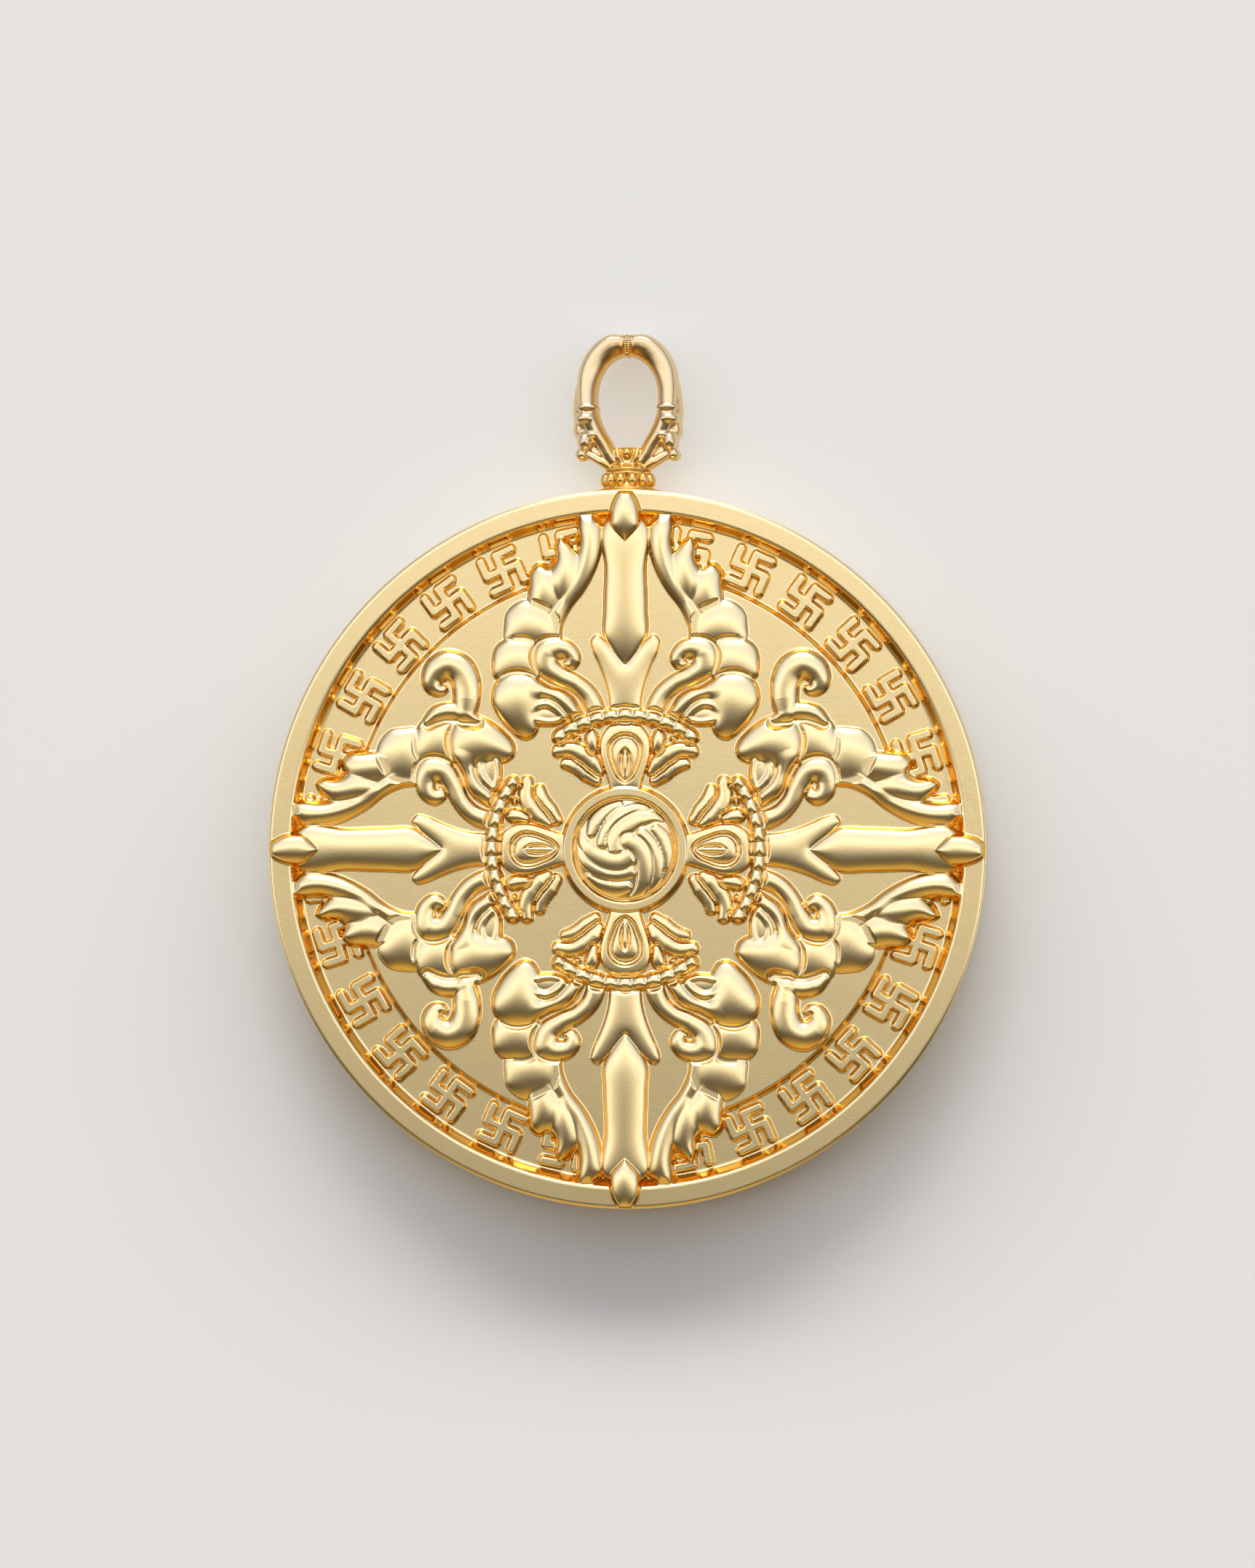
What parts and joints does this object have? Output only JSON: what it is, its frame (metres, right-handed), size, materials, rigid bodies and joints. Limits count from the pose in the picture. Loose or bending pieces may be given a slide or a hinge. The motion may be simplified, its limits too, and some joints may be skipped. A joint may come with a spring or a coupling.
{
  "type": "round pendant with bail",
  "caption": "Round gold pendant with a struck double vajra face, sunk ornament band, beaded collar and polished looped bail.",
  "frame": {"origin": "centre of the case's flat back face", "axes": "+Z is the way the face looks, +Y runs from the disc's centre to the bail, +X to the right as seen from the front"},
  "size_m": [0.036, 0.044, 0.0048],
  "materials": {
    "satin_gold": "gold-plated brass, sand-blasted to a fine satin",
    "polished_gold": "gold-plated brass, polished"
  },
  "bodies": {
    "root": {"case": "satin_gold", "face_plate": "satin_gold", "bail_collar": "polished_gold", "bail": "polished_gold"}
  },
  "joints": []
}
